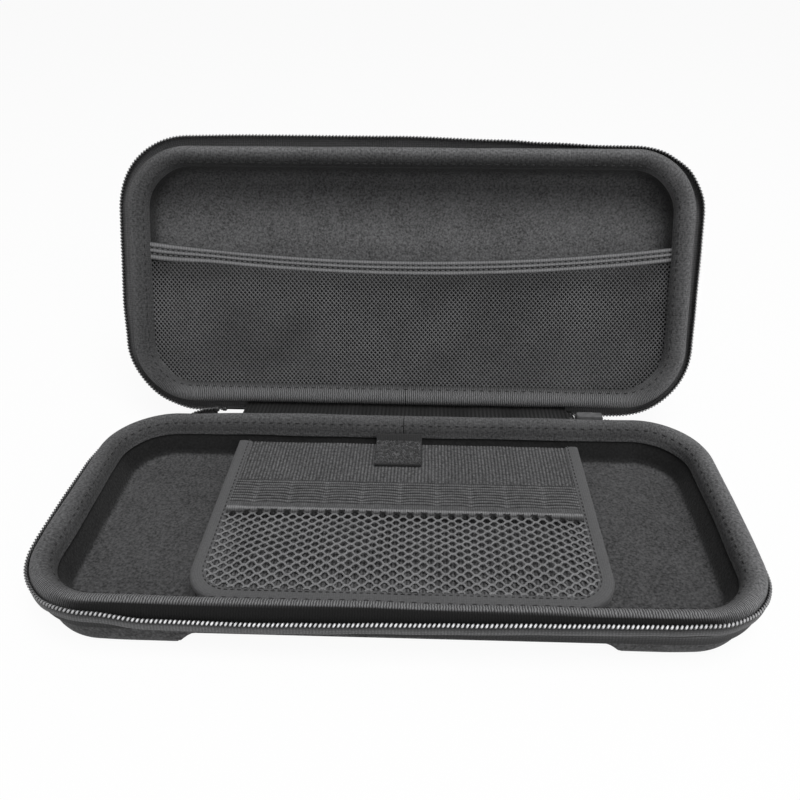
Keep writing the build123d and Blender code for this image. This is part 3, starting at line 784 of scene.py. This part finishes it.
LID_ZIP = [(s, inset, 3.9 if 103 < s < 655 else 3.8) for s, inset in (
    (79.5, -1.0), (103, -1.0), (118, 0.2), (135, 0.6), (155, -0.2), (176, -1.2), (200, -0.9),
    (224, -0.6), (245, -1.2), (262, -1.2), (301, -1.75), (371, -1.55), (420, -0.2), (441, 0.9),
    (468, 2.0), (486, 2.1), (500, 1.5), (514, 0.1), (528, -0.7), (548, -0.6), (572, -0.2),
    (600, 0.3), (620, 0.4), (640, 0.0), (655, -0.5), (674, -0.6),
)]


def zip_half(body, place, table, tape_from):
    """Tape sewn on the flange, with a welt and an upright edge that carries the wound teeth."""
    last = RIM_LENGTH - ZIP_RIGHT
    stations = spread(tape_from, last, 1.6)
    # Painted shade across the tape: dark at its edge by the teeth and where it goes under the
    # flange, light on its welt.
    half_shades = [0.0, 0.05, 0.4, 0.75, 0.8, 0.85, 1.0, 0.9, 0.4, 0.25, 0.15, 0.1]
    rows, edge, outs, ups, lights = [], [], [], [], []
    for s in stations:
        inset, depth = along(table, s)
        flare = 0.45 * eased((130 - abs(s - 376)) / 25)
        middle = rounded([
            (inset, depth - 0.2, 0), (inset + 0.1, depth + 1.4, 1.5),
            (inset - flare, depth + 3.7, 0.45), (3.65, depth + 4.6, 0.5),
            (3.65, max(FLANGE_DEPTH, depth + 5.6), 0),
        ], 3)
        rows.append(on_rim(place, s, thick_line(evenly(middle, len(half_shades)), 0.7)))
        if s >= ZIP_LEFT:
            ways = ((inset, depth), (inset - 1, depth), (inset, depth - 1))
            spot, out, up = on_rim(place, s, ways)
            edge.append(spot)
            outs.append(out - spot)
            ups.append(up - spot)
            # Painted highlight on the base's teeth along the front. All other teeth get a low
            # share, as painted shade.
            lit = 0.15 + 1.1 * eased((150 - abs(s - 382)) / 80) if body == "base" else 0.3
            lights.append([lit] * 3)
    shades = [half_shades + half_shades[::-1]] * len(rows)
    tape = skin(body + "_tape_cloth", rows, stations, shades)
    dress(tape, tape_weave, "zip_tape", body, body + "_zip_tape")
    teeth = lines(body + "_coiled_teeth", [edge], {"out_way": outs, "up_way": ups, "lit": lights})
    grow(teeth, COIL_TREE, pitch=0.00158, half_width=0.00042, half_height=0.0005, wire=0.0004)
    dress(teeth, nylon, "zip_teeth", body, body + "_zip_coil")
    zip_stops(body, (edge[0], edge[1], outs[0]), (edge[-1], edge[-2], outs[-1]))


def zip_stops(body, *ends):
    """Rounded nylon stop moulded over each end of a row of teeth."""
    bm = bmesh.new()
    for spot, after, out in ends:
        run = (after - spot).normalized()
        up = run.cross(out).normalized()
        turned = Matrix((run * 2.2, up.cross(run) * 2.0, up * 2.4)).transposed().to_4x4()
        turned.translation = spot
        to_place = Matrix.Scale(MM, 4) @ turned @ Matrix.Scale(1 / MM, 4)
        made = bmesh.ops.create_cube(bm, size=MM, matrix=to_place)
        rims = list({edge for vert in made["verts"] for edge in vert.link_edges})
        bmesh.ops.bevel(bm, geom=rims, offset=0.0006, segments=3, profile=0.5, affect="EDGES")
    dress(closed(body + "_end_stops", bm), nylon, "zip_teeth", body, body + "_zip_stops")


zip_half("base", on_base, BASE_ZIP, ZIP_LEFT)
zip_half("lid", on_lid, LID_ZIP, 79.5)


# Hinge cloth, sewn on both flanges and taut between them
def hinge_cloth():
    """Ribbed cloth from flange to flange over the gap, lapped on the tapes' right ends."""
    plain = ((3.6, 11.2), (3.6, 9.4), (2.4, 7.2))
    lapped = ((0.1, 9.2), (0.1, 8.4), (0.0, 7.2))
    stations = spread(-79.3, 82.4, 0.45)
    rows, shades = [], []
    for x in stations:
        t = eased((x - 79.0) / 1.2)
        leg = [(a[0] + (b[0] - a[0]) * t, a[1] + (b[1] - a[1]) * t) for a, b in zip(plain, lapped)]
        down = [on_base(0, DEPTH / 2 - i, d) for i, d in leg]
        up = [on_lid(0, DEPTH / 2 - i, d) for i, d in leg]
        corners = [(p.y, p.z, 0.8) for p in down + up[::-1]]
        section = thick_line(evenly(rounded(corners, 4), 24), 0.8)
        rib = 0.25 * abs(math.sin(math.pi * x / 1.9)) + 0.15 * waver(x, 9, 2.0)
        rows.append([Vector((x, p.x, p.y + rib)) for p in section])
        # Painted shade darkening the cloth towards the lid, with painted highlight on the rib
        # crests.
        fade = [(1.0 - 0.8 * eased((k - 8) / 9)) * (0.35 + 2.6 * rib) for k in range(24)]
        shades.append(fade + fade[::-1])
    cloth = skin("hinge_ribbed_cloth", rows, stations, shades)
    dress(cloth, hinge_weave, "hinge_cloth", None, "hinge_fabric")
    start, end = (fold(0, DEPTH / 2 - 2.4, 7.2) * MM for fold in (on_base, on_lid))
    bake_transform(cloth)
    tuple(start)
    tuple(end)


hinge_cloth()


# Divider flap
def flap_front(x, inset):
    """Where the flap's outline, drawn in by inset, has its front edge at x."""
    radius = FLAP_CORNER - inset
    past = abs(x - FLAP_X) - (FLAP_HALF - FLAP_CORNER)
    if past <= 0:
        return FLAP_FRONT + inset
    return FLAP_FRONT + FLAP_CORNER - math.sqrt(max(0.0, radius ** 2 - past ** 2))


def flap_panel():
    """Stiff panel covered in cloth with cords that run from front to rear, with painted shade
    between the cords and, a little, under the net, and a painted shadow along the elastic band's
    front edge.
    """
    half = FLAP_HALF - 0.8
    stations = spread(FLAP_X - half, FLAP_X + half, 0.2)
    rows, shades = [], []
    for x in stations:
        front = flap_front(x, 0.8)
        places = spread(FLAP_REAR, BAND_FRONT + 1, 7) + [BAND_FRONT - 1, BAND_FRONT - 3.2]
        places += spread(BAND_FRONT - 6, front, abs(front - BAND_FRONT + 6) / 5)
        row, shade_row = [], []
        for y in places:
            cord = abs(math.sin(math.pi * (x + 0.12 * waver(y, 7, x * 0.02)) / 1.45))
            row.append(Vector((x, y, FLAP_TOP + 0.26 * cord + 0.12 * waver(x, 19, y / 15))))
            under = 0.05 + 0.9 * eased((BAND_FRONT - y - 0.6) / 2.8) if y < BAND_FRONT + 2 else 1.0
            shade_row.append((0.1 + 0.9 * cord) * under)
        row += [Vector((x, y, FLAP_LOW)) for y in places[::-1]]
        rows.append(row)
        shades.append(shade_row + [0.6] * len(places))
    panel = skin("flap_ribbed_panel", rows, stations, shades)
    dress(panel, panel_weave, "divider_panel", "base", "divider_board")


FLAP_SIDE = FLAP_REAR - FLAP_FRONT - FLAP_CORNER
FLAP_TURN = math.pi * FLAP_CORNER / 2
FLAP_ACROSS = 2 * (FLAP_HALF - FLAP_CORNER)
FLAP_RUNS = walk(FLAP_X - FLAP_HALF, FLAP_REAR, -math.pi / 2, FLAP_CORNER, (
    (FLAP_SIDE, False), (FLAP_TURN, True), (FLAP_ACROSS, False), (FLAP_TURN, True),
    (FLAP_SIDE, False),
))
FLAP_EDGE = 2 * FLAP_SIDE + 2 * FLAP_TURN + FLAP_ACROSS


def flap_edge_tape():
    """Tape folded over the flap's sides and front, with stitches near its inner edge."""
    section = [Vector(p) for p in (
        (5.8, 17.75), (5.75, 18.1), (4.6, 18.18), (3.0, 18.42), (1.4, 18.4), (0.4, 18.0),
        (0.0, 17.2), (-0.05, 16.0), (0.0, 14.7), (0.4, 14.0), (1.4, 13.75), (5.6, 13.8),
        (5.7, 14.5), (1.1, 14.5), (0.8, 16.0), (1.1, 17.4), (5.7, 17.45),
    )]
    stations = spread(0, FLAP_EDGE, 1.5)
    rows, seam = [], []
    for s in stations:
        x, y, nx, ny = walk_at(FLAP_RUNS, FLAP_CORNER, s)
        swell = 0.12 * waver(s, 12, 4.0)
        rows.append([
            Vector((x + nx * p.x, y + ny * p.x, p.y + (swell if p.y > 18 else 0)))
            for p in section
        ])
        seam.append(Vector((x + nx * 4.7, y + ny * 4.7, 18.2)))
    tape = skin("flap_edge_tape", rows, stations)
    dress(tape, edge_weave, "edge_tape", "base", "divider_binding")
    stitches(
        "flap_edge_stitches", [seam], dark_thread, "edge_tape", "base",
        pitch=0.0024, length=0.0017, thread=0.00028,
    )


BAND_ROLL, BAND_FLAT, GATHER = 3.6, 6.4, 14.65


def band_height(y, pinch):
    """Height over the panel and tint of the elastic band's top, y behind its front edge: a painted
    highlight on the rolled hem's crest and painted shade in the grooves between the ribs.
    """
    if y < BAND_ROLL:
        roll = 2.1 * max(0.0, 1 - abs((y - 1.8) / 1.8) ** 2.6) ** 0.4
        crest = math.exp(-(((y - 1.7) / 0.9) ** 2))
        return max(roll, 0.95 if y > 1.8 else 0.1), 0.2 + 0.8 * crest
    if y < BAND_FLAT:
        return 0.95, 0.42
    rib = abs(math.sin(math.pi * (y - BAND_FLAT) / 1.77)) ** 1.2
    return 0.7 + (0.65 - 0.3 * pinch) * rib, -0.06 + 0.66 * rib + 0.12 * pinch


def elastic_band():
    """Ribbed elastic, gathered every 15 mm or so, with a thick rolled hem along its front edge."""
    stations = spread(FLAP_X - POCKET_HALF, FLAP_X + POCKET_HALF, 0.5)
    across = spread(0, BAND_WIDTH, 0.25)
    rows, shades = [], []
    for x in stations:
        gather = (x + 0.2 + 1.0 * waver(x, 31, 6.0)) / GATHER
        off = abs(gather - round(gather)) * GATHER
        pinch = math.exp(-((off / 0.9) ** 2))
        puff = 0.4 * (1 - math.exp(-((off / 3.0) ** 2)))
        row, shade_row = [], []
        for y in across:
            free = math.sin(math.pi * min(1.0, y / BAND_WIDTH))
            tug = math.exp(-((off / 1.2) ** 2)) * math.sin(y * 1.3 + round(gather))
            pull = 0.35 * tug if y > BAND_ROLL else 0.0
            height, tint = band_height(y, pinch)
            lift = puff * free + 0.1 * waver(x, 5, y * 0.4)
            row.append(Vector((x, BAND_FRONT + y + pull * free, FLAP_TOP + 0.25 + height + lift)))
            shade_row.append(tint + 0.05 * waver(x, 2.0, y * 0.7))
        low = FLAP_TOP + 0.1
        row += [Vector((x, BAND_FRONT + y, low)) for y in (BAND_WIDTH, BAND_WIDTH / 2, 0.0)]
        rows.append(row)
        shades.append(shade_row + [0.0] * 3)
    band = skin("flap_elastic_band", rows, stations, shades)
    dress(band, elastic_weave, "elastic", "base", "divider_elastic_band")


def border(within, beyond, inside):
    """Point where a line leaves the inside, found by halving."""
    for _ in range(7):
        middle = within.lerp(beyond, 0.5)
        within, beyond = (middle, beyond) if inside(middle) else (within, middle)
    return within


def split_runs(points, inside):
    """Runs of a line that lie inside, each cut where it crosses the border."""
    runs, run = [], []
    for k, p in enumerate(points):
        if inside(p):
            if k and not run:
                run.append(border(p, points[k - 1], inside))
            run.append(p)
        elif run:
            runs.append(run + [border(points[k - 1], p, inside)])
            run = []
    return runs + [run] if len(run) > 1 else runs


def flap_net():
    """Net of the flap's pocket in rows of arches, a little baggy between its sewn edges."""
    width, fall = 5.45, 1.89
    rear = BAND_FRONT + 0.9

    def inside(p):
        return abs(p.x - FLAP_X) < POCKET_HALF + 0.6 and flap_front(p.x, 5.4) < p.y < rear

    def laid(x, y):
        edge = min(POCKET_HALF - abs(x - FLAP_X), y - flap_front(x, 6.0))
        bag = 1.6 * eased(edge / 16) + 0.35 * waver(x, 17, y / 17)
        return Vector((x, y, FLAP_TOP + 0.8 + max(0.0, bag)))

    runs = []
    half_cells = int(POCKET_HALF / (width / 2)) + 1
    for r in range(int((rear - FLAP_FRONT) / fall) + 1):
        low = rear - 0.4 - r * fall
        wave = []
        for k in range(-8 * half_cells, 8 * half_cells + 1):
            off = abs((k / 16 + r / 2) % 1 - 0.5) * width
            rise = eased((off - 0.5) / 1.75)
            wave.append(laid(FLAP_X + k * width / 16, low + (fall - 0.25) * rise))
        runs += split_runs(wave, inside)
    # Painted shadow: the net's threads darken towards the elastic band's front edge.
    tints = [[0.02 + 0.98 * eased((BAND_FRONT - p.y - 0.2) / 1.9)] * 3 for run in runs for p in run]
    net = lines("flap_net_pocket", runs, {"tint": tints})
    grow(net, STRAND_TREE, thread=0.00042)
    dress(net, net_thread, "net", "base", "divider_net_pocket")


def strip(name, corners, radius, thick, first, last, material, slot, node):
    """Cloth strip bent along a line in the YZ plane and as wide as first to last."""
    line = filled(rounded([(y, z, radius) for y, z in corners], 4), 2.0)
    section = thick_line(line, thick)
    stations = spread(first, last, 1.0)
    rows = []
    for x in stations:
        wave = 0.08 * waver(x, 6, 8.0)
        rows.append([Vector((x, p.x, p.y + wave)) for p in section])
    cloth = skin(name, rows, stations)
    dress(cloth, material, slot, "base", node)
    length = sum((b - a).length for a, b in zip(line, line[1:])) * MM


def patch_pad(name, low, high, node):
    """Square of hook or loop tape with an uneven top."""
    stations = spread(TAB_X - TAB_HALF + 0.2, TAB_X + TAB_HALF - 0.2, 0.6)
    across = spread(TAB_END + 0.2, TAB_END + PATCH_LENGTH, 0.6)
    rows = []
    for x in stations:
        row = []
        for y in across:
            roll = 0.55 * (1 - eased((y - TAB_END) / 1.8))
            row.append(Vector((x, y, high - roll + 0.12 * waver(x, 1.1, y / 1.1))))
        row += [Vector((x, y, low)) for y in (across[-1], across[0])]
        rows.append(row)
    pad = skin(name, rows, stations)
    dress(pad, hook_back, "hook_and_loop", "base", node)


def hook_square():
    """Bent threads standing all over the hook square."""
    pile = square(
        "closure_hook_threads", TAB_X - TAB_HALF + 0.5, TAB_END + 0.5,
        TAB_X + TAB_HALF - 0.5, TAB_END + PATCH_LENGTH - 0.3, 19.95,
    )
    grow(pile, PILE_TREE, density=2.2e6, height=0.00042, thread=0.00014)
    dress(pile, hook_pile, "hook_and_loop", "base")


flap_panel()
flap_edge_tape()
elastic_band()
flap_net()
strip(
    "flap_sewing_tape", [(-51.9, 11.9), (-52.2, 13.4), (-41.8, 13.4)], 0.7, 0.8, -53.0, 57.0,
    edge_weave, "edge_tape", "divider_hinge_tape",
)
strip(
    "closure_cloth_tab", [(51.6, 12.2), (52.2, 13.8), (50.2, 18.7), (TAB_END, 18.7)], 1.6, 1.0,
    TAB_X - TAB_HALF, TAB_X + TAB_HALF, tab_weave, "hook_and_loop", "closure_tab",
)
patch_pad("closure_loop_pad", FLAP_TOP, 18.15, "closure_loop_patch")
patch_pad("closure_hook_pad", 19.15, 19.9, "closure_hook_patch")
hook_square()


# Lid pocket
def pocket_side(y):
    """Half width of the lid pocket at y, rounded at its corners."""
    past = abs(y) - (DEPTH / 2 - CORNER)
    if past <= 0:
        return WIDTH / 2 - 11.0
    return WIDTH / 2 - CORNER + math.sqrt(max(0.0, (CORNER - 11.0) ** 2 - past ** 2))


def pocket_hem():
    """Elastic hem in three soft ridges with stitches in its two grooves."""
    ridges = ((0.0, 0.31), (0.35, 0.6), (0.68, 1.0))
    end = pocket_side(HEM_END)
    stations = spread(-end, end, 1.2)
    across = [k / 30 for k in range(31)]
    rows, seams, shades = [], [[], []], []
    for x in stations:
        top, width = hem_line(x), hem_width(x)
        row, shade_row = [], []
        for t in across:
            ridge = 0.0
            for a, b in ridges:
                if a < t < b:
                    ridge = math.sin(math.pi * (t - a) / (b - a)) ** 0.6
            row.append(on_lid(x, top + width * t, 7.98 - 0.85 * ridge - 0.1 * waver(x, 8, t * 3)))
            # Painted highlight on the ridges and painted shade in the grooves between them and
            # underneath.
            shade_row.append(1.15 * ridge - 0.1)
        row += [on_lid(x, top + width * t, 9.4) for t in (1.0, 0.5, 0.0)]
        rows.append(row)
        shades.append(shade_row + [0.2] * 3)
        for seam, t in zip(seams, (0.33, 0.64)):
            seam.append(on_lid(x, top + width * t, 7.75))
    hem = skin("lid_pocket_hem_elastic", rows, stations, shades)
    dress(hem, hem_weave, "elastic", "lid", "lid_pocket_hem")
    run = stitches(
        "lid_hem_stitches", seams, sewing_thread, "elastic", "lid",
        pitch=0.0026, length=0.0019, thread=0.00028,
    )


def pocket_net():
    """Fine net on the bias, drawn taut from the hem down to the rim roll."""
    pitch, slope = 2.05, 1.12
    low = DEPTH / 2 - 10.9

    def inside(p):
        return abs(p.x) < pocket_side(p.y) and hem_line(p.x) + hem_width(p.x) - 0.6 < p.y < low

    runs, tints = [], []
    for way in (1, -1):
        for k in range(-95, 96):
            run = []
            for y in spread(-14, low, 2.4):
                run.append(Vector((k * pitch + way * (y - 20) / slope, y, 0)))
            for part in split_runs(run, inside):
                laid = []
                for p in part:
                    edge = min(pocket_side(p.y) - abs(p.x), low - p.y)
                    bag = 1.1 * eased(edge / 22) + 0.4 * waver(p.x, 37, p.y / 31)
                    laid.append(on_lid(p.x, p.y, 8.7 - bag - 0.12 * way))
                    # Painted shade just below the hem, lighter towards the rim roll, with painted
                    # streaks of shade and light across the net.
                    below = p.y - hem_line(p.x) - hem_width(p.x)
                    streak_shade = 0.09 * waver(p.x + 0.8 * p.y, 17, p.y / 25)
                    streak_shade += 0.1 * waver(p.x, 40, p.y / 30)
                    tint = 0.6 + 0.35 * eased(below / 14) + 0.2 * eased((p.y - 36) / 14) + streak_shade
                    tints.append([tint] * 3)
                runs.append(laid)
    net = lines("lid_pocket_net", runs, {"tint": tints})
    grow(net, STRAND_TREE, thread=0.00031)
    dress(net, fine_thread, "net", "lid", "lid_net_pocket")


pocket_hem()
pocket_net()

# Small hard parts kept from the solid model
for node in ("zip_slider", "zip_pull"):
    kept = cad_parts[node]
    kept.data.materials.clear()
    kept.data.materials.append(slider_paint)


# Camera at the photograph's place
def camera():
    """Camera by its place, its pitch, yaw and roll and its focal length in pixels of 800."""
    lens = bpy.data.cameras.new("camera")
    lens.sensor_width = 36
    lens.lens = 740 / 800 * 36
    lens.clip_start = 0.01
    pitch, yaw, roll = (math.radians(a) for a in (32.215, -2.321, 0.143))
    ahead = Vector((
        math.sin(yaw) * math.cos(pitch), math.cos(yaw) * math.cos(pitch), -math.sin(pitch),
    ))
    right = Vector((math.cos(yaw), -math.sin(yaw), 0))
    down = ahead.cross(right)
    side = math.cos(roll) * right + math.sin(roll) * down
    fall = -math.sin(roll) * right + math.cos(roll) * down
    stand = placed("camera", lens)
    stand.matrix_world = Matrix((side, -fall, -ahead)).transposed().to_4x4()
    stand.matrix_world.translation = Vector((0.009837, -0.230169, 0.214159))
    bpy.context.scene.camera = stand


# Studio: pale floor, white surround and soft light from above
def seen_plainly(add):
    """1 for rays that show the surround itself, also in a gloss or through a gap, else 0."""
    path = add("LightPath").node.outputs
    direct = maths(add, "MAXIMUM", path["Is Camera Ray"], path["Is Glossy Ray"])
    return maths(add, "MAXIMUM", direct, path["Is Transmission Ray"])


def studio():
    """Floor and surround that the camera sees as white, and plain soft light on the object."""
    pale, world = bpy.data.materials.new("pale_floor"), bpy.data.worlds.new("studio")
    bpy.context.scene.world = world
    for owner in (pale, world):
        owner.use_nodes = True
        owner.node_tree.nodes.clear()
    add = adder(pale.node_tree, "ShaderNode")
    share = maths(add, "MULTIPLY", seen_plainly(add), 0.94)
    card = add("BsdfDiffuse", Color=(0.92, 0.92, 0.92, 1))
    glow = add("Emission", Color=(1, 1, 1, 1), Strength=1.0)
    both = add("MixShader", {0: share, 1: card, 2: glow})
    add("OutputMaterial", {"Surface": both}).is_active_output = True
    add = adder(world.node_tree, "ShaderNode")
    level = add("MapRange", {"Value": seen_plainly(add)}, To_Min=0.2, To_Max=1.0)
    air = add("Background", {"Strength": level}, Color=(1, 1, 1, 1))
    add("OutputWorld", {"Surface": air})
    floor = square("floor", -4000, -4000, 4000, 4000, 0)
    floor.data.materials.append(pale)
    for name, spot, size, power in (
        ("top_softbox", (0.25, -0.45, 1.45), 1.0, 18.0),
        ("front_softbox", (0.7, -1.2, 0.7), 0.9, 5.0),
    ):
        lamp = bpy.data.lights.new(name, "AREA")
        lamp.shape, lamp.size, lamp.energy = "DISK", size, power
        stand = placed(name, lamp)
        stand.location = spot
        way = Vector((0, 0.03, 0.04)) - Vector(spot)
        stand.rotation_euler = way.to_track_quat("-Z", "Y").to_euler()


camera()
studio()
bpy.context.scene.view_settings.view_transform = "Standard"
